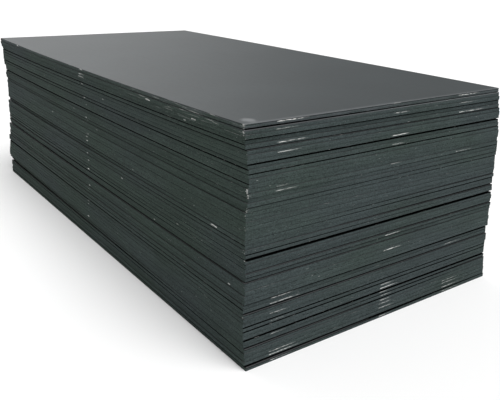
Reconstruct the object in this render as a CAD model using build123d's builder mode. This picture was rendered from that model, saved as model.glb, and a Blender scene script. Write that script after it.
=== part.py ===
from build123d import *
from math import atan2, degrees
import os

# A full delivery stack of film-faced birch plywood, lying flat.
# X runs along the sheets, Y across them and Z up. The origin is the middle of the stack's box, on the floor.

# One sheet
sheet_length = 2440.0
sheet_width = 1220.0
sheet_thickness = 14.9
arris_ease = 0.5
corner_ease = 2.0

# Paint and dust hold two sheets this far apart
film_gap = 0.1

# Sheets of one lift are knocked up flush, within this much each way
knock_up_error = 0.8

# How many sheets each lift holds, from the floor up
lift_sheets = [1, 4, 1, 1, 2, 1, 3, 2, 5, 1, 1, 3, 1, 1, 2, 1, 5, 1, 2, 5, 2, 3, 2, 2, 1]

# How each of those lifts lies: how far its middle sits off line along X and along Y, how far its ends are
# turned out of line, then how far its warp holds it off the lift below at the +X end and at the -X end
lift_places = [
    (-1.0, 9.0, 1.0, 0.0, 0.0),
    (-4.0, 6.0, -1.5, 1.5, 0.0),
    (-6.0, 7.0, -4.5, 0.5, 1.5),
    (-5.0, 0.5, -1.0, 0.0, 2.0),
    (-3.0, -2.0, -0.5, 1.0, 0.0),
    (-2.5, -2.0, -1.0, 0.0, 0.0),
    (-2.5, -1.0, -3.0, 0.0, 0.0),
    (-4.5, -1.5, -2.0, 0.5, 1.5),
    (-1.5, 2.5, -3.5, 0.5, 0.0),
    (-2.5, 5.5, -5.0, 0.0, 0.0),
    (1.0, 3.5, -4.0, 0.0, 0.0),
    (-0.5, 4.0, -5.0, 0.0, 0.5),
    (2.5, 2.0, -4.5, 2.5, 0.5),
    (1.0, 2.0, -5.0, 0.5, 0.0),
    (0.5, 1.5, -5.5, 0.0, 0.0),
    (1.5, 5.5, -9.5, 0.0, 0.0),
    (1.0, 2.0, -6.0, 0.0, 1.0),
    (2.5, 2.5, -3.5, 0.0, 0.0),
    (3.5, 2.5, -3.0, 0.0, 0.0),
    (3.0, 0.5, -0.5, 0.0, 0.5),
    (0.5, -4.5, 2.5, 0.0, 0.0),
    (4.0, -9.0, 1.0, 1.0, 0.0),
    (-1.0, -10.5, -1.5, 0.0, 0.5),
    (1.5, -18.0, 0.5, 0.5, 0.0),
    (-3.5, -19.0, 1.0, 1.5, 1.0),
]


def knock_up(number):
    """How far one sheet stands out of its lift, along X and along Y."""
    along = knock_up_error * ((7 * number) % 5 - 2) / 2
    across = knock_up_error * ((3 * number) % 5 - 2) / 2
    return along, across


# Place every sheet, each on the one below, with the warp of all the lifts under it
places = []
height = 0.0
rise_plus = 0.0
rise_minus = 0.0
for count, lie in zip(lift_sheets, lift_places):
    shift_x, shift_y, turn, gape_plus, gape_minus = lie
    rise_plus += gape_plus
    rise_minus += gape_minus
    for step in range(count):
        along, across = knock_up(len(places) + 1)
        places.append((shift_x + along, shift_y + across, turn, height, rise_plus, rise_minus))
        height += sheet_thickness + film_gap

# The middle of the stack's own box, which becomes the origin. A turned sheet reaches out further.
low_x = min(place[0] - abs(place[2]) * sheet_width / sheet_length for place in places)
high_x = max(place[0] + abs(place[2]) * sheet_width / sheet_length for place in places)
low_y = min(place[1] - abs(place[2]) for place in places)
high_y = max(place[1] + abs(place[2]) for place in places)
middle_x = (low_x + high_x) / 2
middle_y = (low_y + high_y) / 2


def long_line(left, middle, right):
    """One long line of a sheet's outline: straight in a flat sheet, an arc in a bowed one."""
    chord = (left[1] + right[1]) / 2
    if middle[1] == chord:
        Line(left, right)
    else:
        ThreePointArc(left, middle, right)


def make_sheet(bottom, end_rise, start_rise):
    """One sheet: its long edge's outline drawn across the stack, with the arrises and corners eased."""
    start = bottom + start_rise
    middle = bottom + (start_rise + end_rise) / 4
    end = bottom + end_rise
    left = -sheet_length / 2
    right = sheet_length / 2
    with BuildPart() as sheet:
        with BuildSketch(Plane.XZ.offset(sheet_width / 2)):
            with BuildLine():
                long_line((left, start), (0, middle), (right, end))
                Line((right, end), (right, end + sheet_thickness))
                long_line(
                    (left, start + sheet_thickness),
                    (0, middle + sheet_thickness),
                    (right, end + sheet_thickness),
                )
                Line((left, start + sheet_thickness), (left, start))
            make_face()
        extrude(amount=-sheet_width)
        chamfer(sheet.edges().filter_by(Axis.Z), corner_ease)
        lower_and_upper = sheet.faces().sort_by(Axis.Z)
        chamfer(lower_and_upper[0].edges() + lower_and_upper[-1].edges(), arris_ease)
    return sheet


# Write one file for each sheet, counted from the floor up
os.makedirs("parts", exist_ok=True)
for number, place in enumerate(places, start=1):
    x, y, turn, bottom, end_rise, start_rise = place
    flat_sheet = make_sheet(bottom, end_rise, start_rise)
    angle = degrees(atan2(turn, sheet_length / 2))
    laid_sheet = Location((x - middle_x, y - middle_y, 0), (0, 0, angle)) * flat_sheet.part
    laid_sheet.label = f"sheet_{number:02d}"
    export_step(laid_sheet, f"parts/sheet_{number:02d}.step")
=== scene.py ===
"""A delivery stack of film-faced birch plywood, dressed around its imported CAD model."""

import math
import random

import bmesh
import bpy
from bpy.props import FloatProperty, FloatVectorProperty, IntProperty, PointerProperty
from mathutils import Matrix, Vector


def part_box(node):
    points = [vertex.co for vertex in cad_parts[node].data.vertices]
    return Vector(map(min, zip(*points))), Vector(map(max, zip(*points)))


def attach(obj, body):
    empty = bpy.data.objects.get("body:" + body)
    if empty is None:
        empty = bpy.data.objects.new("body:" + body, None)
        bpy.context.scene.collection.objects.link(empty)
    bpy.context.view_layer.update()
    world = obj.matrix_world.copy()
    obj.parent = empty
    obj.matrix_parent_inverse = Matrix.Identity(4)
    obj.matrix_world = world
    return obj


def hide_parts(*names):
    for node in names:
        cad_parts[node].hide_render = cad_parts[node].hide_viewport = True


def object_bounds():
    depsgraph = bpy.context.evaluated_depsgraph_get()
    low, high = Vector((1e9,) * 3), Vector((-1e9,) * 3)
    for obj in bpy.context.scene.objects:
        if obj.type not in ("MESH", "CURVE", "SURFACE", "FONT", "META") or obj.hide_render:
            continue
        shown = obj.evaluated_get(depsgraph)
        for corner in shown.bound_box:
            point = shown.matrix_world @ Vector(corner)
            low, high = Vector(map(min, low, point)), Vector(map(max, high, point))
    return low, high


bl_info = {
    "name": "Film-faced plywood stack",
    "version": (1, 0, 0),
    "blender": (4, 5, 0),
    "location": "View3D > Sidebar > Plywood",
    "description": "Models a full stack of film-faced birch plywood sheets",
    "category": "Add Mesh",
}

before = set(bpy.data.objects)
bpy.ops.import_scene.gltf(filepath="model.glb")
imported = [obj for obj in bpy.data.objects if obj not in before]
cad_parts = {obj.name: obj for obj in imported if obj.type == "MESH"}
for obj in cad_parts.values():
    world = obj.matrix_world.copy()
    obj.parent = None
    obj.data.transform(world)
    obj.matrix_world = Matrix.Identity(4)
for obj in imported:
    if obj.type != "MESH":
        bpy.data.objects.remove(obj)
CAD_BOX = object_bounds()
SHEET_COUNT = len(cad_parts)
STACK_HEIGHT = CAD_BOX[1][2]
MM = 0.001

# Where a blank is cut near its edges, in from the edge. An open joint tapers to nothing at the last cut.
RIM_CUTS = (0.006, 0.016, 0.045)
RIM_REACH = RIM_CUTS[-1]

# How many strips a blank has along and across it, for a sheet in the stack and for the top one
BODY_STRIPS = (18, 9)
TOP_STRIPS = (60, 30)

# How an open joint's gap is shared: taken off the top of the sheet below it and off the underside of the
# sheet above it
TAKEN_OFF_TOP = 0.6
TAKEN_OFF_UNDERSIDE = 0.4

# The most that a joint with no row in the table of joints stands open, in millimetres
INSIDE_GAP = 0.5

# Added to the distances from a sheet's side and end, so that the share of each is also defined at the
# corner itself
CORNER_GUARD = 0.0002

# How far from a sheet's end its warp is read off the solids, and how far past its own edge a sheet still
# shuts in its neighbour
WARP_READ = 0.020
SHUT_IN_MARGIN = 0.0006

# How far a knock reaches from the near corner and from the other three
NEAR_KNOCK_REACH = 0.020
FAR_KNOCK_REACH = 0.010

# The slight waves that the sheets lie in: their height at the top of the stack, then how close they are along
# and across it
WAVE_HEIGHT = 0.0003
WAVE_ALONG = 5.1
WAVE_ACROSS = 7.3

# Where the strap across the stack crossed its long sides, and how far that varies from sheet to sheet
SIDE_STRAP = -0.012
SIDE_STRAP_SPREAD = 0.008

# Where the three straps along the stack crossed its end faces, and how far their marks reach from there
END_STRAPS = ((-0.505, 0.125), (-0.002, 0.085), (0.350, 0.140))

# Marks too faint to show, for the sheets that have no rub or chip on the long side
NO_SIDE_RUB = (0.008, 0.5, 0.0)
NO_CHIP = (0.0, 0.005, 0.5, 0.0)

# How hard the other near corners are knocked at most, and how far a sheet's paint is from the common tone
FAINT_KNOCK = 0.15
TONE_SPREAD = 0.4

# Each of these pairs is where an effect starts along one axis, and where it is full: the painted shade on the
# ledges down in the stack, the top sheet's edge, the paler streaks on the top edges, the scrapes near the
# top, and the two kinds of face
LEDGES = (0.79, 0.78)
TOP_EDGE = (0.784, 0.788)
PALE_STREAK_HEIGHTS = (0.775, 0.800)
SCRAPED_TOP = (0.740, 0.792)
ON_END_FACE = (1.18, 1.19)
ON_LONG_SIDE = (0.58, 0.59)

# The top sheet's scuffed near corner, in coordinates stretched across the stack
SCUFF_STRETCH = (1.0, 1.3, 1.0)
SCUFF_PLACE = (1.178, -0.752, 0.805)

# Colours of dust, scuffs and wear, of the top sheet's pale streaks and dark line, and of painted shade and
# painted highlights
WHITE = (1.0, 1.0, 1.0)
DUST = (0.30, 0.30, 0.29)
CORNER_SCUFF = (0.36, 0.37, 0.38)
FILM_RIM_HIGHLIGHT = (0.20, 0.205, 0.215)
LEDGE_SHADE = (0.004, 0.004, 0.004)
SHUT_IN_FILM_SHADE = (0.0015, 0.0018, 0.0019)
PALE_TOP_STREAKS = (0.098, 0.102, 0.112)
LINE_UNDER_RIM = (0.010, 0.011, 0.012)
END_RIM_HIGHLIGHT = (0.26, 0.26, 0.27)

# How far a joint stands open at its rim, in millimetres, counted from the top of the stack: the sheets
# above the joint, then its gap on the long side at the near corner and at the far end, and its gap on the
# end face at the near corner and at the right. A gap below zero closes one that the solids leave open.
JOINTS = [
    (1, 0.2, 0.6, 2.8, -0.8),
    (3, 0.3, 0.2, 2.2, 1.6),
    (4, 1.1, 2.6, 0.1, 0.2),
    (5, 2.1, 1.0, 1.6, 2.0),
    (6, 0.1, 0.9, 0.4, 0.4),
    (8, 1.2, 4.2, 2.7, 5.0),
    (9, 2.6, 1.7, 0.1, 0.1),
    (10, 0.8, 0.2, 1.9, 1.9),
    (12, 1.5, 4.5, 0.2, 0.1),
    (13, 0.0, 0.3, 0.2, 0.1),
    (15, 0.9, 3.6, 0.4, 1.3),
    (16, 0.2, 0.5, 0.0, 0.0),
    (17, 0.2, 0.3, 1.2, 1.2),
    (18, 0.1, 0.2, 0.5, 1.1),
    (23, 0.0, 6.5, 0.0, 2.0),
    (24, 0.3, 0.3, 0.2, 2.6),
    (25, 2.4, 0.2, 0.1, 0.3),
    (26, 0.8, 0.4, -0.3, 4.5),
    (27, 0.7, 0.2, 1.2, -0.3),
    (28, -1.0, 0.5, 4.8, 5.4),
    (29, 1.2, 2.0, 0.4, 0.1),
    (30, 0.4, 1.5, 0.1, 0.1),
    (31, 0.2, 4.2, 1.4, 3.6),
    (32, 0.0, 0.5, 2.0, 1.6),
    (33, 1.3, 4.5, 2.4, 0.8),
    (34, 0.4, 0.1, 0.1, 0.0),
    (36, 0.3, 0.9, 0.1, 0.1),
    (37, 0.5, 2.0, 0.1, 0.2),
    (38, 0.1, 0.1, 1.6, 6.5),
    (39, 1.4, 0.1, 0.0, 0.4),
    (40, 0.4, 7.5, 4.2, 1.6),
    (41, 0.8, 0.1, 0.1, 0.1),
    (43, 0.1, 0.1, 2.0, 1.9),
    (44, 0.5, 0.1, 2.1, 1.7),
    (46, 0.1, 0.1, 3.6, 4.8),
    (47, 1.4, 7.0, 0.0, 3.2),
    (48, 0.0, 7.5, 4.8, -0.4),
    (49, 1.3, 0.8, 0.1, 0.1),
    (51, 0.6, 0.1, 0.1, 0.1),
    (52, 3.6, 2.6, 7.5, 0.8),
]

# Where a strap rubbed an end face, counted from the top of the stack: the sheet, the strap (0 near the
# long side that faces the camera, 1 in the middle, 2 on the far side), how high up the sheet, and how hard
STRAP_RUBS = [
    (1, 0, 0.66, 0.9), (1, 1, 0.94, 0.3), (1, 2, 0.55, 0.8),
    (2, 0, 0.30, 0.35), (3, 1, 0.80, 0.6), (3, 2, 0.80, 0.35),
    (5, 0, 0.52, 1.0), (5, 2, 0.45, 0.9), (7, 0, 0.60, 0.55),
    (8, 1, 0.58, 1.0), (10, 1, 0.45, 0.7), (14, 0, 0.4, 0.2), (15, 0, 0.5, 0.5),
    (15, 1, 0.9, 0.3), (15, 2, 0.45, 0.5), (32, 1, 0.35, 0.9),
    (36, 1, 0.45, 0.9), (39, 0, 0.65, 0.6), (40, 0, 0.45, 0.9),
    (40, 2, 0.6, 0.4), (42, 0, 0.35, 0.5), (44, 0, 0.5, 0.3), (45, 1, 0.5, 0.7),
    (46, 1, 0.6, 0.9), (47, 1, 0.6, 0.5), (48, 1, 0.6, 0.6), (47, 0, 0.4, 0.35),
    (49, 1, 0.4, 0.6), (50, 1, 0.6, 0.6), (51, 0, 0.3, 0.6), (51, 1, 0.5, 0.7),
    (51, 2, 0.6, 0.55), (52, 0, 0.6, 0.8), (52, 2, 0.5, 0.6), (50, 2, 0.3, 0.4),
    (53, 0, 0.45, 0.5), (53, 1, 0.45, 0.6), (53, 2, 0.5, 0.6),
]

# Where the strap across the stack rubbed the long side, counted from the top: the sheet, how far the mark
# reaches each way along it in metres, how high up the sheet, and how hard
SIDE_RUBS = [
    (1, 0.016, 0.90, 0.7), (2, 0.030, 0.60, 0.5), (3, 0.032, 0.75, 0.45), (5, 0.010, 0.60, 0.5),
    (9, 0.008, 0.50, 0.6), (11, 0.006, 0.40, 0.35), (15, 0.009, 0.50, 0.9), (16, 0.006, 0.70, 0.3),
    (20, 0.012, 0.60, 0.4), (21, 0.009, 0.60, 0.5), (22, 0.008, 0.40, 0.6), (26, 0.007, 0.60, 0.6),
    (28, 0.008, 0.40, 0.4), (31, 0.009, 0.60, 0.9), (36, 0.008, 0.60, 0.9), (37, 0.007, 0.40, 0.5),
    (41, 0.007, 0.60, 0.8), (42, 0.006, 0.60, 0.5), (46, 0.007, 0.60, 0.7),
]

# Lone chips on the long side, counted from the top: the sheet, where the chip is along it and how far it
# reaches each way in metres, how high up the sheet, and how hard
SIDE_CHIPS = [
    (1, -0.905, 0.012, 0.75, 0.9), (2, 0.62, 0.016, 0.40, 0.7), (3, 0.935, 0.012, 0.55, 0.8),
    (4, 0.87, 0.007, 0.60, 0.4), (7, 0.20, 0.008, 0.50, 0.3), (14, -0.15, 0.006, 0.50, 0.4),
    (17, 0.10, 0.008, 0.30, 0.3), (19, -0.45, 0.006, 0.50, 0.4), (23, 0.45, 0.006, 0.60, 0.3),
    (25, 1.045, 0.017, 0.60, 0.9), (27, 0.35, 0.006, 0.40, 0.5), (30, 0.80, 0.006, 0.50, 0.4),
    (33, 0.62, 0.005, 0.60, 0.5), (36, 1.13, 0.006, 0.50, 0.8), (44, 0.30, 0.006, 0.40, 0.4),
]

# Sheets whose near corner is knocked, counted from the top, and how hard
KNOCKED_CORNERS = [
    (1, 1.0), (2, 0.9), (3, 0.6), (5, 0.5), (6, 0.4), (8, 0.3), (10, 0.5), (13, 0.4), (14, 0.9), (15, 1.0),
    (18, 0.7), (19, 0.5), (20, 0.6), (22, 0.7), (27, 0.6), (29, 0.7), (32, 0.4), (41, 0.4), (46, 0.3),
]


class StackStock(bpy.types.PropertyGroup):
    """The sheets as they are cut and stacked."""

    length: FloatProperty(
        name="Sheet length", description="Long side of one sheet", default=2.440, unit="LENGTH"
    )
    width: FloatProperty(
        name="Sheet width", description="Short side of one sheet", default=1.220, unit="LENGTH"
    )
    thickness: FloatProperty(
        name="Sheet thickness", description="Thickness of one sheet", default=0.01485,
        precision=5, unit="LENGTH",
    )
    pitch: FloatProperty(
        name="Pitch", description="Height that one sheet takes in the stack", default=0.015,
        precision=4, unit="LENGTH",
    )
    arris: FloatProperty(
        name="Arris", description="How far each long edge is eased", default=0.0003,
        precision=4, unit="LENGTH",
    )
    corner: FloatProperty(
        name="Corner", description="Radius of the upright corners", default=0.002,
        precision=4, unit="LENGTH",
    )
    joint_scale: FloatProperty(
        name="Joint scale", description="Makes every joint stand more or less open",
        default=1.0, min=0.0, max=1.5,
    )
    saddle: FloatProperty(
        name="Saddle", description="How far the top sheet's long edges leave their level at mid length",
        default=0.0065, precision=4, unit="LENGTH",
    )
    stagger: FloatProperty(
        name="Stagger", description="How far single sheets stand out of their lift", default=0.0013,
        precision=4, unit="LENGTH",
    )
    seed: IntProperty(
        name="Seed", description="Starts the draws for wear that the photograph doesn't place",
        default=11,
    )


class StackFinish(bpy.types.PropertyGroup):
    """The colours and sheen of the sheets."""

    film: FloatVectorProperty(
        name="Film", description="Phenolic film on both faces", subtype="COLOR", size=3,
        default=(0.0310, 0.0390, 0.0415), min=0.0, max=1.0,
    )
    paint: FloatVectorProperty(
        name="Edge paint", description="Paint that seals the edges", subtype="COLOR", size=3,
        default=(0.0375, 0.0535, 0.0460), min=0.0, max=1.0,
    )
    cool_paint: FloatVectorProperty(
        name="Cool edge paint", description="What the paint drifts to, most of all on the end faces",
        subtype="COLOR", size=3, default=(0.0415, 0.0535, 0.0545), min=0.0, max=1.0,
    )
    birch: FloatVectorProperty(
        name="Bare birch", description="Wood and dust where the paint is rubbed off", subtype="COLOR",
        size=3, default=(0.74, 0.74, 0.72), min=0.0, max=1.0,
    )
    film_roughness: FloatProperty(
        name="Film roughness", description="Satin of the film", default=0.52, min=0.0, max=1.0,
        subtype="FACTOR",
    )
    paint_roughness: FloatProperty(
        name="Paint roughness", description="Dullness of the edge paint", default=0.82, min=0.0,
        max=1.0, subtype="FACTOR",
    )


class StackStage(bpy.types.PropertyGroup):
    """The camera's place and the light."""

    azimuth: FloatProperty(
        name="Azimuth", description="Camera's bearing around the stack, in degrees", default=54.13
    )
    elevation: FloatProperty(
        name="Elevation", description="Angle that the camera looks down at, in degrees", default=12.75
    )
    roll: FloatProperty(
        name="Roll", description="Tilt of the camera about its view, in degrees", default=1.42
    )
    distance: FloatProperty(
        name="Distance", description="From the camera to its target", default=3.293, unit="LENGTH"
    )
    side_step: FloatProperty(
        name="Side step", description="How far the target is right of the middle", default=0.224,
        unit="LENGTH",
    )
    target_height: FloatProperty(
        name="Target height", description="Height of the target", default=0.527, unit="LENGTH"
    )
    lens: FloatProperty(
        name="Lens", description="Focal length on a 36 mm wide sensor", default=48.02, unit="CAMERA"
    )
    lens_shift: FloatProperty(
        name="Lens shift", description="Shift that keeps the uprights nearly parallel", default=-0.17
    )
    floor_size: FloatProperty(
        name="Floor size", description="Side of the square studio floor", default=400.0, unit="LENGTH"
    )
    floor_tone: FloatProperty(
        name="Floor tone", description="Grey of the studio floor", default=0.88, min=0.0, max=1.0,
        subtype="FACTOR",
    )
    window_side: FloatVectorProperty(
        name="Window side", description="Where the brighter side of the studio is", size=3,
        default=(-1.0, 0.0, 0.20), subtype="DIRECTION",
    )
    window_strength: FloatProperty(
        name="Window strength", description="How much brighter that side is", default=1.55
    )
    window_spread: FloatProperty(
        name="Window spread", description="How far round the brighter side fades out, in degrees",
        default=44.0,
    )
    sky_strength: FloatProperty(
        name="Sky strength", description="Light from the studio's walls and ceiling", default=0.36
    )
    overhead_side: FloatVectorProperty(
        name="Overhead side", description="Where the softbox over the stack is", size=3,
        default=(0.54, -0.02, 1.0), subtype="DIRECTION",
    )
    overhead_strength: FloatProperty(
        name="Overhead strength", description="Light from that softbox", default=3.0
    )
    overhead_spread: FloatProperty(
        name="Overhead spread", description="How wide that softbox looks, in degrees", default=50.0
    )
    backdrop_strength: FloatProperty(
        name="Backdrop strength", description="How bright the backdrop looks behind the floor", default=1.0
    )


def deselect_all():
    """Leaves nothing selected, so that the next operator acts on its own piece."""
    bpy.ops.object.select_all(action="DESELECT")


def select_edges(piece, wanted):
    """In edit mode, selects just the edges whose two ends pass the test."""
    bpy.ops.mesh.select_mode(type="EDGE")
    bpy.ops.mesh.select_all(action="DESELECT")
    mesh = bmesh.from_edit_mesh(piece.data)
    for edge in mesh.edges:
        if wanted(edge.verts[0].co, edge.verts[1].co):
            edge.select_set(True)
    mesh.select_flush_mode()
    bmesh.update_edit_mesh(piece.data)


def cut_across(places, normal):
    """In edit mode, cuts the whole mesh square to one direction at each of the places."""
    direction = Vector(normal)
    for place in places:
        bpy.ops.mesh.select_all(action="SELECT")
        bpy.ops.mesh.bisect(plane_co=direction * place, plane_no=direction)


def cut_places(half, steps):
    """Where a side is cut: close together near its ends, and evenly between them."""
    rim = [half - inset for inset in RIM_CUTS]
    inner = [(half - RIM_REACH) * (2 * step / steps - 1) for step in range(1, steps)]
    return sorted([-place for place in rim] + inner + rim)


def make_blank(stock, name, strips):
    """One flat sheet on the origin, its corners and arrises eased, cut up so that it can bow."""
    columns, rows = strips
    deselect_all()
    bpy.ops.mesh.primitive_cube_add(
        size=1.0,
        location=(0.0, 0.0, stock.thickness / 2),
        scale=(stock.length, stock.width, stock.thickness),
    )
    blank = bpy.context.object
    blank.name = name
    bpy.ops.object.transform_apply(location=True, rotation=True, scale=True)
    bpy.ops.object.mode_set(mode="EDIT")
    select_edges(blank, lambda a, b: abs(a.z - b.z) > stock.thickness / 2)
    bpy.ops.mesh.bevel(offset=stock.corner, segments=3, affect="EDGES")
    select_edges(blank, lambda a, b: abs(a.z - b.z) < stock.thickness / 2)
    bpy.ops.mesh.bevel(offset=stock.arris, segments=2, affect="EDGES")
    cut_across(cut_places(stock.length / 2, columns), (1.0, 0.0, 0.0))
    cut_across(cut_places(stock.width / 2, rows), (0.0, 1.0, 0.0))
    cut_across([stock.thickness / 2], (0.0, 0.0, 1.0))
    bpy.ops.mesh.select_all(action="DESELECT")
    bpy.ops.object.mode_set(mode="OBJECT")
    bpy.ops.object.shade_smooth_by_angle(angle=math.radians(50.0))
    return blank


def joint_gap(joint, x, y, to_end, to_side):
    """How far one joint stands open at a place: its side's gap along the side, its end's along the end."""
    side_near, side_far, end_near, end_right = joint
    along = min(max(0.5 - x, 0.0), 1.0)
    across = min(max(y + 0.5, 0.0), 1.0)
    side_start = side_near if y < 0.0 else end_right
    end_start = end_near if x > 0.0 else side_far
    on_side = side_start + (side_far - side_start) * along
    on_end = end_start + (end_right - end_start) * across
    turned = (to_side + CORNER_GUARD) / (to_side + to_end + 2 * CORNER_GUARD)
    return on_side + (on_end - on_side) * turned


class Lie:
    """Where one sheet lies: its middle, its warp, and the joints over and under it."""

    def __init__(self, stock, number, draw):
        node = f"sheet_{number:02d}"
        low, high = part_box(node)
        self.number = number
        self.from_top = SHEET_COUNT + 1 - number
        self.middle = (
            (low.x + high.x) / 2 + draw.uniform(-1.0, 1.0) * stock.stagger,
            (low.y + high.y) / 2 + draw.uniform(-1.0, 1.0) * stock.stagger,
        )
        self.flat = (number - 1) * stock.pitch
        points = [vertex.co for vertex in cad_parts[node].data.vertices]
        self.rise_plus = min(p.z for p in points if p.x > high.x - WARP_READ) - self.flat
        self.rise_minus = min(p.z for p in points if p.x < low.x + WARP_READ) - self.flat
        side = [p for p in points if p.y < self.middle[1]]
        near = max(side, key=lambda p: p.x)
        far = min(side, key=lambda p: p.x)
        self.turn = math.atan2(near.y - far.y, near.x - far.x)
        joints = {above: strengths for above, *strengths in JOINTS}
        inside = tuple(INSIDE_GAP * draw.random() for corner in range(4))
        self.over = joints.get(self.from_top - 1, inside)
        self.under = joints.get(self.from_top, inside)
        self.rubs = {
            strap: (up, hard) for sheet, strap, up, hard in STRAP_RUBS if sheet == self.from_top
        }
        side_rubs = {sheet: mark for sheet, *mark in SIDE_RUBS}
        self.side_rub = side_rubs.get(self.from_top, NO_SIDE_RUB)
        self.side_rub_place = SIDE_STRAP + draw.uniform(-SIDE_STRAP_SPREAD, SIDE_STRAP_SPREAD)
        chips = {sheet: mark for sheet, *mark in SIDE_CHIPS}
        self.chip = chips.get(self.from_top, NO_CHIP)
        self.knock = dict(KNOCKED_CORNERS).get(self.from_top, FAINT_KNOCK * draw.random())
        self.tone = draw.uniform(-TONE_SPREAD, TONE_SPREAD)
        self.draw = draw

    def covers(self, stock, x, y):
        """Whether this sheet lies over or under a place on its neighbour, seen from above."""
        x, y = x - self.middle[0], y - self.middle[1]
        along = x * math.cos(self.turn) + y * math.sin(self.turn)
        across = y * math.cos(self.turn) - x * math.sin(self.turn)
        within_length = abs(along) < stock.length / 2 + SHUT_IN_MARGIN
        return within_length and abs(across) < stock.width / 2 + SHUT_IN_MARGIN

    def bow(self, stock, x):
        """How far the sheet is off the flat, at one place along it."""
        t = x / (stock.length / 2)
        both = (self.rise_plus + self.rise_minus) / 4
        return both + (self.rise_plus - self.rise_minus) / 2 * t + both * t * t


def write_attribute(mesh, name, kind, values):
    """Keeps numbers on the mesh's points, one or four to a point, for its finish to read."""
    field = "value" if kind == "FLOAT" else "color"
    mesh.attributes.new(name, kind, "POINT").data.foreach_set(field, values)


def place_copy(stock, blank, lie, above, below, name):
    """One sheet of the stack: a copy of the blank with its own mesh, laid and warped as the sheet lies."""
    piece = blank.copy()
    piece.data = blank.data.copy()
    piece.name = name
    piece.data.name = name
    bpy.context.scene.collection.objects.link(piece)
    mesh = piece.data
    half_length = stock.length / 2
    half_width = stock.width / 2
    high_share = (lie.flat + stock.thickness / 2) / STACK_HEIGHT
    plies, joints, marks, heights, rubs, chips = [], [], [], [], [], []
    far_side = [lie.draw.random() for strap in range(4)]
    for vertex in mesh.vertices:
        x, y, z = vertex.co
        ply = z / stock.thickness
        to_end = half_length - abs(x)
        to_side = half_width - abs(y)
        rim = max(1.0 - max(min(to_end, to_side), 0.0) / RIM_REACH, 0.0)
        share = (x / stock.length, y / stock.width, to_end, to_side)
        over = joint_gap(lie.over, *share) * stock.joint_scale
        under = joint_gap(lie.under, *share) * stock.joint_scale
        lift = 0.0
        if ply > 0.9:
            lift = -TAKEN_OFF_TOP * MM * over * rim
        elif ply < 0.1:
            lift = TAKEN_OFF_UNDERSIDE * MM * under * rim
        saddle = stock.saddle * high_share * (y / half_width) * (1 - (x / half_length) ** 2)
        wave = math.sin(WAVE_ALONG * x + 0.7) * math.sin(WAVE_ACROSS * y + 0.4)
        vertex.co = (
            lie.middle[0] + x * math.cos(lie.turn) - y * math.sin(lie.turn),
            lie.middle[1] + y * math.cos(lie.turn) + x * math.sin(lie.turn),
            lie.flat + z + lie.bow(stock, x) + lift + saddle + WAVE_HEIGHT * high_share * wave,
        )
        near_corner = math.hypot(half_length - x, half_width + y)
        other_corner = math.hypot(half_length - abs(x), half_width - abs(y))
        knock = lie.knock * max(1.0 - near_corner / NEAR_KNOCK_REACH, 0.0)
        knock = max(knock, 0.3 * far_side[3] * max(1.0 - other_corner / FAR_KNOCK_REACH, 0.0))
        neighbour = above if ply > 0.5 else below
        shut_in = neighbour is not None and neighbour.covers(stock, vertex.co.x, vertex.co.y)
        on_end = to_end < to_side
        plies.append(ply)
        joints.extend((max(over, 0.0), max(under, 0.0), float(shut_in), float(on_end)))
        marks.extend((knock, 0.5 + 0.5 * lie.tone, lie.side_rub_place, lie.side_rub[0]))
        for strap in range(3):
            if x > 0.0:
                height, hard = lie.rubs.get(strap, (0.5, 0.0))
            else:
                # The hidden end has a mark only where the draw is high
                height, hard = far_side[strap], max(far_side[strap] * 2.2 - 1.4, 0.0)
            heights.append(height)
            rubs.append(hard)
        heights.append(lie.side_rub[1])
        rubs.append(lie.side_rub[2])
        chips.extend(lie.chip)
    write_attribute(mesh, "ply", "FLOAT", plies)
    write_attribute(mesh, "joints", "FLOAT_COLOR", joints)
    write_attribute(mesh, "marks", "FLOAT_COLOR", marks)
    write_attribute(mesh, "rub_heights", "FLOAT_COLOR", heights)
    write_attribute(mesh, "rubs", "FLOAT_COLOR", rubs)
    write_attribute(mesh, "chips", "FLOAT_COLOR", chips)
    for finish in ("phenolic_film", "edge_paint", "film_in_joint"):
        mesh.materials.append(bpy.data.materials[finish])
    for face in mesh.polygons:
        if abs(face.normal.z) < 0.9:
            face.material_index = 1
        # Film faces that the next sheet covers all over get the film painted near black as shade
        elif all(joints[4 * index + 2] for index in face.vertices):
            face.material_index = 2
    mesh.update()
    node = f"sheet_{lie.number:02d}"
    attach(piece, "root")
    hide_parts(node)


def lay_sheets(stock, numbers, strips):
    """Makes one blank, then lays a copy of it for each of the sheets."""
    blank = make_blank(stock, "sheet_blank", strips)
    lies = [
        Lie(stock, number, random.Random(stock.seed * 1000 + number))
        for number in range(1, SHEET_COUNT + 1)
    ]
    for number in numbers:
        above = lies[number] if number < SHEET_COUNT else None
        below = lies[number - 2] if number > 1 else None
        place_copy(stock, blank, lies[number - 1], above, below, f"film_sheet_{number:02d}")
    blank_mesh = blank.data
    bpy.data.objects.remove(blank)
    bpy.data.meshes.remove(blank_mesh)


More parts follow.
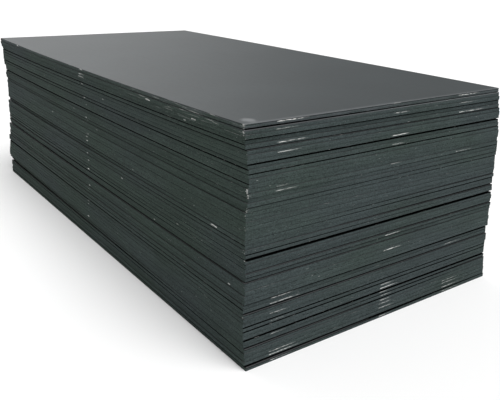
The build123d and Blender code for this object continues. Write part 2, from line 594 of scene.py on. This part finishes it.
class Recipe:
    """One finish, written as the steps that mix it."""

    def __init__(self, name):
        self.material = bpy.data.materials.new(name)
        self.material.use_nodes = True
        self.tree = self.material.node_tree
        self.tree.nodes.clear()
        self.across = 0

    def add(self, kind, **settings):
        """One node, laid out after the last."""
        node = self.tree.nodes.new(kind)
        node.location = (self.across, 0.0)
        self.across += 180
        for key, value in settings.items():
            setattr(node, key, value)
        return node

    def feed(self, socket, value):
        """Joins a socket to an earlier step, or sets it."""
        if isinstance(value, bpy.types.NodeSocket):
            self.tree.links.new(value, socket)
        elif isinstance(value, (tuple, list)) and len(value) == 3 and socket.type == "RGBA":
            socket.default_value = (*value, 1.0)
        else:
            socket.default_value = value

    def math(self, operation, first, second=0.0, third=0.0, clamp=False):
        """One sum."""
        node = self.add("ShaderNodeMath", operation=operation, use_clamp=clamp)
        for socket, value in zip(node.inputs, (first, second, third)):
            self.feed(socket, value)
        return node.outputs[0]

    def ramp(self, value, low, high, from_value=0.0, to_value=1.0):
        """A smooth step of a value between two limits."""
        node = self.add("ShaderNodeMapRange", interpolation_type="SMOOTHSTEP")
        for socket, entry in zip(node.inputs, (value, low, high, from_value, to_value)):
            self.feed(socket, entry)
        return node.outputs[0]

    def blend(self, share, first, second, how="MIX"):
        """Two colours mixed."""
        node = self.add("ShaderNodeMix", data_type="RGBA", blend_type=how)
        self.feed(node.inputs[0], share)
        self.feed(node.inputs[6], first)
        self.feed(node.inputs[7], second)
        return node.outputs[2]

    def stretched(self, source, scale, offset=(0.0, 0.0, 0.0)):
        """Coordinates stretched for a pattern."""
        node = self.add("ShaderNodeMapping")
        self.feed(node.inputs["Vector"], source)
        node.inputs["Location"].default_value = offset
        node.inputs["Scale"].default_value = scale
        return node.outputs[0]

    def noise(self, source, scale=1.0, detail=2.0, roughness=0.5):
        """Cloudy noise, about 0.5 on average."""
        node = self.add("ShaderNodeTexNoise")
        self.feed(node.inputs["Vector"], source)
        node.inputs["Scale"].default_value = scale
        node.inputs["Detail"].default_value = detail
        node.inputs["Roughness"].default_value = roughness
        return node.outputs[0]

    def axes(self, source):
        """The three numbers of a place."""
        node = self.add("ShaderNodeSeparateXYZ")
        self.feed(node.inputs[0], source)
        return tuple(node.outputs)

    def attribute(self, name):
        """The four numbers that one of the sheet's own attributes holds at each point."""
        source = self.add("ShaderNodeAttribute", attribute_name=name)
        node = self.add("ShaderNodeSeparateColor")
        self.feed(node.inputs[0], source.outputs["Color"])
        return (*node.outputs, source.outputs["Alpha"])

    def product(self, first, *others):
        """Numbers multiplied together, one after the other."""
        for other in others:
            first = self.math("MULTIPLY", first, other)
        return first

    def apart(self, first, second):
        """How far two numbers are from each other."""
        return self.math("ABSOLUTE", self.math("SUBTRACT", first, second))

    def bump(self, height, strength, distance):
        """A bumped surface normal."""
        node = self.add("ShaderNodeBump")
        node.inputs["Strength"].default_value = strength
        node.inputs["Distance"].default_value = distance
        self.feed(node.inputs["Height"], height)
        return node.outputs[0]

    def shader(self, **sockets):
        """The surface itself, with its sockets set or joined."""
        node = self.add("ShaderNodeBsdfPrincipled")
        for name, value in sockets.items():
            self.feed(node.inputs[name.replace("_", " ")], value)
        output = self.add("ShaderNodeOutputMaterial")
        self.tree.links.new(node.outputs[0], output.inputs[0])


def mix_film(finish):
    """The satin phenolic film, with faint clouds, hairline scuffs and a little dust; painted shade where the
    next sheet covers it and on the ledges, and a painted highlight along the near end.
    """
    recipe = Recipe("phenolic_film")
    place = recipe.add("ShaderNodeTexCoord").outputs["Object"]
    x, y, z = recipe.axes(place)
    clouds = recipe.noise(place, 2.3, 3.0)
    fine = recipe.noise(place, 55.0, 3.0)
    scuffs = recipe.noise(recipe.stretched(place, (3.0, 60.0, 1.0)), 1.0, 4.0, 0.6)
    scuffed = recipe.ramp(scuffs, 0.60, 0.75)
    # Where the next sheet covers the film, it is painted near black: painted shade in the joint
    shut_in = recipe.attribute("joints")[2]
    open_air = recipe.math("MULTIPLY_ADD", shut_in, -0.97, 1.0)
    tone = recipe.math("MULTIPLY_ADD", clouds, 0.5, 0.75)
    tone = recipe.product(tone, recipe.math("MULTIPLY_ADD", fine, 0.24, 0.88), open_air)
    base = recipe.blend(1.0, tuple(finish.film), tone, "MULTIPLY")
    base = recipe.blend(recipe.product(scuffed, open_air, 0.05), base, DUST)

    # The ledges that sheets leave down in the stack are painted darker than the top: painted shade from the
    # sheet above
    base = recipe.blend(recipe.ramp(z, *LEDGES, 0.0, 0.7), base, LEDGE_SHADE)

    # A pale scuff at the near corner, and a painted highlight along the rim of the near end
    away = recipe.add("ShaderNodeVectorMath", operation="DISTANCE")
    recipe.feed(away.inputs[0], recipe.stretched(place, SCUFF_STRETCH))
    away.inputs[1].default_value = SCUFF_PLACE
    smear = recipe.math("MULTIPLY_ADD", recipe.noise(place, 60.0, 3.0), -0.03, away.outputs["Value"])
    base = recipe.blend(recipe.product(recipe.ramp(smear, -0.002, 0.022, 1.0, 0.0), 0.33), base, CORNER_SCUFF)
    rim = recipe.ramp(recipe.math("MULTIPLY_ADD", fine, 0.008, x), 1.204, 1.216)
    rim = recipe.product(rim, recipe.ramp(y, 0.5, -0.6, 0.10, 0.26), open_air)
    base = recipe.blend(rim, base, FILM_RIM_HIGHLIGHT)

    rough = recipe.math("MULTIPLY_ADD", fine, 0.06, finish.film_roughness - 0.03)
    rough = recipe.math("ADD", rough, recipe.product(scuffed, 0.06))
    rough = recipe.math("MULTIPLY_ADD", shut_in, 0.4, rough, clamp=True)
    bumped = recipe.bump(recipe.noise(place, 160.0, 2.0), 0.35, 0.0002)
    recipe.shader(Base_Color=base, Roughness=rough, Specular_IOR_Level=0.42, Normal=bumped)


def mix_film_in_joint():
    """The film where the next sheet shuts it in: dull, mottled and painted near black as the shade in the
    joint.
    """
    recipe = Recipe("film_in_joint")
    place = recipe.add("ShaderNodeTexCoord").outputs["Object"]
    tone = recipe.math("MULTIPLY_ADD", recipe.noise(place, 40.0, 3.0), 0.8, 0.6)
    base = recipe.blend(1.0, SHUT_IN_FILM_SHADE, tone, "MULTIPLY")
    recipe.shader(Base_Color=base, Roughness=1.0, Specular_IOR_Level=0.0)


class EdgePaint(Recipe):
    """The dark paint on the edges, with the numbers that each sheet keeps for it."""

    def __init__(self):
        super().__init__("edge_paint")
        self.place = self.add("ShaderNodeTexCoord").outputs["Object"]
        self.x, self.y, self.z = self.axes(self.place)
        self.ply = self.add("ShaderNodeAttribute", attribute_name="ply").outputs["Fac"]
        self.over, self.under, _, self.on_end = self.attribute("joints")
        self.knock, self.sheet_tone, self.side_place, self.side_reach = self.attribute("marks")
        self.rub_heights = self.attribute("rub_heights")
        self.rubs = self.attribute("rubs")
        self.chips = self.attribute("chips")
        self.grain = self.fibres((16.0, 16.0, 620.0), 3.0, 0.6)
        ply_wave = self.math("SINE", self.product(self.ply, 11 * math.pi))
        self.ply_step = self.math("MULTIPLY_ADD", ply_wave, 0.5, 0.5)

    def fibres(self, scale, detail, roughness=0.5, offset=(0.0, 0.0, 0.0)):
        """Noise drawn out along the sheet's edge."""
        return self.noise(self.stretched(self.place, scale, offset), 1.0, detail, roughness)

    def paint_tone(self):
        """How light the paint is: its plies, grain, clouds, pits and speckle, sheet by sheet."""
        clouds = self.fibres((4.0, 4.0, 30.0), 3.0, 0.55)
        pits = self.fibres((130.0, 130.0, 260.0), 2.0)
        speckle = self.fibres((190.0, 190.0, 330.0), 1.0, offset=(7.0, 3.0, 1.0))
        return self.product(
            self.math("MULTIPLY_ADD", self.ply_step, 0.14, 0.93),
            self.math("MULTIPLY_ADD", self.grain, 0.9, 0.55),
            self.math("MULTIPLY_ADD", clouds, 0.5, 0.75),
            self.math("MULTIPLY_ADD", self.sheet_tone, 0.24, 0.88),
            self.ramp(pits, 0.28, 0.45, 0.6, 1.0),
            self.math("MULTIPLY_ADD", speckle, 1.3, 0.35),
        )

    def joint_dirt_and_shade(self, side, gap, reach):
        """What dirt and painted shade leave of the paint next to an open joint. The widest ones on the long
        sides get more, as the painted shadow of the sheet that overhangs them.
        """
        depth = self.product(self.apart(side, self.ply), 15.0)
        deeper = self.math("MAXIMUM", self.math("MULTIPLY_ADD", gap, 2.5, -16.25), 0.0)
        deeper = self.product(deeper, self.math("MULTIPLY_ADD", self.on_end, -side, side))
        beyond = self.math("SUBTRACT", depth, self.math("MULTIPLY_ADD", gap, reach, 0.2))
        band = self.ramp(self.math("SUBTRACT", beyond, deeper), 0.0, 0.5, 1.0, 0.0)
        dirt_and_shade = self.product(band, self.math("MULTIPLY", gap, 0.75, clamp=True))
        return self.math("MULTIPLY_ADD", dirt_and_shade, -0.96, 1.0, clamp=True)

    def top_sheet(self, base):
        """Adds what shows on the top sheet's edges: pale streaks, a dark line under the rim, and a painted
        highlight along the rim of the end faces.
        """
        rim = self.ramp(self.z, *TOP_EDGE)
        pale_streaks = self.fibres((14.0, 14.0, 300.0), 3.0, 0.6, offset=(1.0, 5.0, 3.0))
        pale_streaks = self.product(self.ramp(pale_streaks, 0.36, 0.66), self.ramp(self.z, *PALE_STREAK_HEIGHTS), 0.55)
        base = self.blend(pale_streaks, base, PALE_TOP_STREAKS)
        line_height = self.math("MULTIPLY_ADD", self.on_end, -0.18, 0.94)
        line = self.ramp(self.apart(self.ply, line_height), 0.05, 0.13, 0.75, 0.0)
        base = self.blend(self.product(line, rim), base, LINE_UNDER_RIM)
        # A pale band at the top of the end faces' rim: painted highlight
        worn = self.product(self.ramp(self.ply, 0.90, 0.96), rim, self.product(self.on_end, 0.60))
        return self.blend(worn, base, END_RIM_HIGHLIGHT)

    def strap_rubs(self):
        """How bare the straps and lone chips have left the end faces and the long sides, from 0 to 1."""
        rough_ends = self.fibres((3.0, 30.0, 260.0), 2.0)
        by_sheet = self.math("MULTIPLY_ADD", self.fibres((0.5, 0.5, 75.0), 1.0), 0.7, 0.65)
        broken = self.ramp(self.fibres((60.0, 60.0, 420.0), 3.0, 0.6), 0.40, 0.60, 0.1, 1.0)
        total = 0.0
        for strap, (start, reach) in enumerate(END_STRAPS):
            hard = self.rubs[strap]
            along = self.math(
                "SUBTRACT", self.y, self.math("MULTIPLY_ADD", rough_ends, 0.03, start - 0.015)
            )
            longest = self.product(self.math("MULTIPLY_ADD", hard, 0.6 * reach, 0.45 * reach), by_sheet)
            left = self.math("SUBTRACT", longest, along)
            band = self.product(
                self.ramp(along, -0.002, 0.004),
                self.ramp(left, 0.0, 0.5 * reach, 0.15),
                self.ramp(left, -0.002, 0.004),
            )
            line = self.ramp(self.apart(self.ply, self.rub_heights[strap]), 0.06, 0.14, 1.0, 0.0)
            total = self.math("MAXIMUM", total, self.product(band, line, hard))
        total = self.product(total, self.ramp(self.math("ABSOLUTE", self.x), *ON_END_FACE))
        on_side = self.ramp(self.math("ABSOLUTE", self.y), *ON_LONG_SIDE)
        strap_across = (self.side_place, self.side_reach, self.rub_heights[3], self.rubs[3])
        for middle, reach, height, hard in (strap_across, self.chips):
            reach = self.product(reach, self.math("MULTIPLY_ADD", rough_ends, 0.8, 0.6))
            band = self.ramp(self.math("SUBTRACT", reach, self.apart(self.x, middle)), -0.002, 0.002)
            line = self.ramp(self.apart(self.ply, height), 0.10, 0.22, 1.0, 0.0)
            total = self.math("MAXIMUM", total, self.product(band, line, hard, on_side))
        return self.product(total, broken)

    def bare_wood(self):
        """Where the paint is gone: arrises, knocked corners, scrapes, flecks and strap rubs, from 0 to 1."""
        patches = self.fibres((30.0, 30.0, 200.0), 3.0, 0.6)
        arris = self.ramp(self.apart(self.ply, 0.5), 0.44, 0.48)
        worn = self.product(self.ramp(patches, 0.60, 0.74), arris, 0.35)
        splinters = self.math("SUBTRACT", self.fibres((150.0, 150.0, 190.0), 2.0), 0.5)
        chipped = self.math("ADD", self.product(self.knock, 0.40), splinters)
        chipped = self.product(
            self.ramp(chipped, 0.25, 0.40),
            self.ramp(self.knock, 0.0, 0.2, 0.0, 0.45),
            self.math("MULTIPLY_ADD", self.on_end, -0.85, 1.0),
        )
        scraped = self.fibres((11.0, 11.0, 260.0), 3.0, 0.6, offset=(3.0, 9.0, 2.0))
        near_top = self.product(self.ramp(self.z, *SCRAPED_TOP), self.ramp(self.x, 0.3, 0.8))
        near_top = self.product(near_top, self.math("SUBTRACT", 1.0, self.on_end), 0.45)
        scraped = self.product(self.ramp(scraped, 0.55, 0.72), near_top)
        flecks = self.product(self.ramp(self.fibres((60.0, 60.0, 300.0), 1.0), 0.78, 0.83), 0.30)
        bare = self.strap_rubs()
        for wear in (worn, chipped, scraped, flecks):
            bare = self.math("MAXIMUM", bare, wear)
        return bare


def mix_edge_paint(finish):
    """The dark paint on the edges: plies showing through, joints dirty and darkened with painted shade, the
    long sides painted darker as shade, arrises and straps rubbed bare.
    """
    recipe = EdgePaint()
    tone = recipe.product(
        recipe.paint_tone(),
        recipe.joint_dirt_and_shade(1.0, recipe.over, 0.65),
        recipe.joint_dirt_and_shade(0.0, recipe.under, 0.3),
        # The long sides are painted darker than the end faces: painted shade on the side that gets less light
        recipe.math("MULTIPLY_ADD", recipe.on_end, 0.13, 0.92),
    )
    drift = recipe.math("MULTIPLY_ADD", recipe.on_end, 0.20, recipe.fibres((1.6, 1.6, 5.0), 2.0))
    paint = recipe.blend(recipe.ramp(drift, 0.38, 0.82), tuple(finish.paint), tuple(finish.cool_paint))
    base = recipe.top_sheet(recipe.blend(1.0, paint, tone, "MULTIPLY"))
    bare = recipe.bare_wood()
    grain_tone = recipe.math("MULTIPLY_ADD", recipe.grain, 0.8, 0.6)
    base = recipe.blend(bare, base, recipe.blend(1.0, tuple(finish.birch), grain_tone, "MULTIPLY"))
    rough = recipe.math("MULTIPLY_ADD", recipe.grain, 0.16, finish.paint_roughness - 0.08)
    rough = recipe.math("ADD", rough, recipe.product(bare, 0.3))
    height = recipe.math("MULTIPLY_ADD", recipe.ply_step, 0.4, recipe.product(recipe.grain, 0.8))
    bumped = recipe.bump(height, 0.6, 0.0004)
    recipe.shader(Base_Color=base, Roughness=rough, Specular_IOR_Level=0.06, Normal=bumped)


def mix_floor(tone):
    """Pale studio floor."""
    recipe = Recipe("studio_floor")
    place = recipe.add("ShaderNodeTexCoord").outputs["Object"]
    shade = recipe.math("MULTIPLY_ADD", recipe.noise(place, 0.8, 2.0), 0.02, tone - 0.01)
    base = recipe.blend(1.0, WHITE, shade, "MULTIPLY")
    recipe.shader(Base_Color=base, Roughness=0.9, Specular_IOR_Level=0.1)
    return recipe.material


def mix_studio(stage):
    """The studio round the stack: dim walls and ceiling, brighter on one side."""
    world = bpy.data.worlds.new("studio")
    world.use_nodes = True
    nodes = world.node_tree.nodes
    links = world.node_tree.links
    background = nodes["Background"]
    background.inputs[0].default_value = (*WHITE, 1.0)
    facing = nodes.new("ShaderNodeVectorMath")
    facing.operation = "DOT_PRODUCT"
    links.new(nodes.new("ShaderNodeTexCoord").outputs["Generated"], facing.inputs[0])
    facing.inputs[1].default_value = Vector(stage.window_side).normalized()
    window = nodes.new("ShaderNodeMapRange")
    window.interpolation_type = "SMOOTHSTEP"
    links.new(facing.outputs["Value"], window.inputs["Value"])
    window.inputs["From Min"].default_value = math.cos(math.radians(stage.window_spread))
    window.inputs["From Max"].default_value = 1.0
    window.inputs["To Min"].default_value = stage.sky_strength
    window.inputs["To Max"].default_value = stage.sky_strength + stage.window_strength

    # The backdrop looks as pale as the floor, also where a level view shows it
    backdrop = nodes.new("ShaderNodeMix")
    links.new(nodes.new("ShaderNodeLightPath").outputs["Is Camera Ray"], backdrop.inputs[0])
    links.new(window.outputs[0], backdrop.inputs[2])
    backdrop.inputs[3].default_value = stage.backdrop_strength
    links.new(backdrop.outputs[0], background.inputs[1])
    return world


def place_camera(stage):
    """The camera, aimed at its target from its bearing and height, then rolled."""
    turn = math.radians(stage.azimuth)
    tip = math.radians(stage.elevation)
    roll = math.radians(stage.roll)
    back = Vector((math.sin(turn) * math.cos(tip), -math.cos(turn) * math.cos(tip), math.sin(tip)))
    right = Vector((math.cos(turn), math.sin(turn), 0.0))
    up = back.cross(right)
    leaning_right = right * math.cos(roll) + up * math.sin(roll)
    leaning_up = up * math.cos(roll) - right * math.sin(roll)
    place = right * stage.side_step + back * stage.distance
    place.z += stage.target_height
    deselect_all()
    bpy.ops.object.camera_add(location=place)
    camera = bpy.context.object
    camera.name = "camera"
    rotation = Matrix((leaning_right, leaning_up, back)).transposed()
    camera.matrix_world = Matrix.Translation(place) @ rotation.to_4x4()
    camera.data.sensor_width = 36.0
    camera.data.lens = stage.lens
    camera.data.shift_y = stage.lens_shift
    camera.data.clip_end = 200.0
    return camera


def sun_light(name, source, strength, spread):
    """Light from a whole softbox overhead, given the direction that it comes from."""
    deselect_all()
    bpy.ops.object.light_add(type="SUN", location=Vector(source) * 5.0)
    light = bpy.context.object
    light.name = name
    light.data.energy = strength
    light.data.angle = math.radians(spread)
    light.rotation_euler = (-Vector(source)).to_track_quat("-Z", "Y").to_euler()


class PLYWOOD_OT_body_sheets(bpy.types.Operator):
    """Lay every sheet of the stack under the top one."""

    bl_idname = "plywood.body_sheets"
    bl_label = "Lay body sheets"

    def execute(self, context):
        stock = context.scene.plywood_stock
        lay_sheets(stock, range(1, SHEET_COUNT), BODY_STRIPS)
        return {"FINISHED"}


class PLYWOOD_OT_top_sheet(bpy.types.Operator):
    """Lay the top sheet, whose whole face is seen."""

    bl_idname = "plywood.top_sheet"
    bl_label = "Lay top sheet"

    def execute(self, context):
        stock = context.scene.plywood_stock
        lay_sheets(stock, [SHEET_COUNT], TOP_STRIPS)
        return {"FINISHED"}


class PLYWOOD_OT_finishes(bpy.types.Operator):
    """Mix the film, the edge paint and the bare wood that shows through it."""

    bl_idname = "plywood.finishes"
    bl_label = "Mix finishes"

    def execute(self, context):
        finish = context.scene.plywood_finish
        mix_film(finish)
        mix_film_in_joint()
        mix_edge_paint(finish)
        return {"FINISHED"}


class PLYWOOD_OT_stage(bpy.types.Operator):
    """Set up the floor, the light and the camera."""

    bl_idname = "plywood.stage"
    bl_label = "Set the stage"

    def execute(self, context):
        scene = context.scene
        stage = scene.plywood_stage
        deselect_all()
        bpy.ops.mesh.primitive_plane_add(size=stage.floor_size, location=(0.0, 0.0, 0.0))
        floor = context.object
        floor.name = "studio_floor"
        floor.data.materials.append(mix_floor(stage.floor_tone))
        scene.world = mix_studio(stage)
        sun_light("overhead", stage.overhead_side, stage.overhead_strength, stage.overhead_spread)
        scene.camera = place_camera(stage)
        scene.view_settings.view_transform = "Standard"
        return {"FINISHED"}


class PLYWOOD_PT_stack(bpy.types.Panel):
    """Sizes, finishes and steps of the plywood stack."""

    bl_idname = "PLYWOOD_PT_stack"
    bl_label = "Plywood stack"
    bl_space_type = "VIEW_3D"
    bl_region_type = "UI"
    bl_category = "Plywood"

    def draw(self, context):
        layout = self.layout
        scene = context.scene
        for group in (scene.plywood_stock, scene.plywood_finish, scene.plywood_stage):
            column = layout.column(align=True)
            for key in group.bl_rna.properties.keys():
                if key not in ("rna_type", "name"):
                    column.prop(group, key)
        for step in STEPS:
            layout.operator(step.bl_idname)


STEPS = (PLYWOOD_OT_finishes, PLYWOOD_OT_body_sheets, PLYWOOD_OT_top_sheet, PLYWOOD_OT_stage)
CLASSES = (StackStock, StackFinish, StackStage, *STEPS, PLYWOOD_PT_stack)


def register():
    for cls in CLASSES:
        bpy.utils.register_class(cls)
    bpy.types.Scene.plywood_stock = PointerProperty(type=StackStock)
    bpy.types.Scene.plywood_finish = PointerProperty(type=StackFinish)
    bpy.types.Scene.plywood_stage = PointerProperty(type=StackStage)


def unregister():
    del bpy.types.Scene.plywood_stage
    del bpy.types.Scene.plywood_finish
    del bpy.types.Scene.plywood_stock
    for cls in reversed(CLASSES):
        bpy.utils.unregister_class(cls)


def main():
    """Runs every step in order."""
    register()
    bpy.ops.plywood.finishes()
    bpy.ops.plywood.body_sheets()
    bpy.ops.plywood.top_sheet()
    bpy.ops.plywood.stage()


if __name__ == "__main__":
    main()
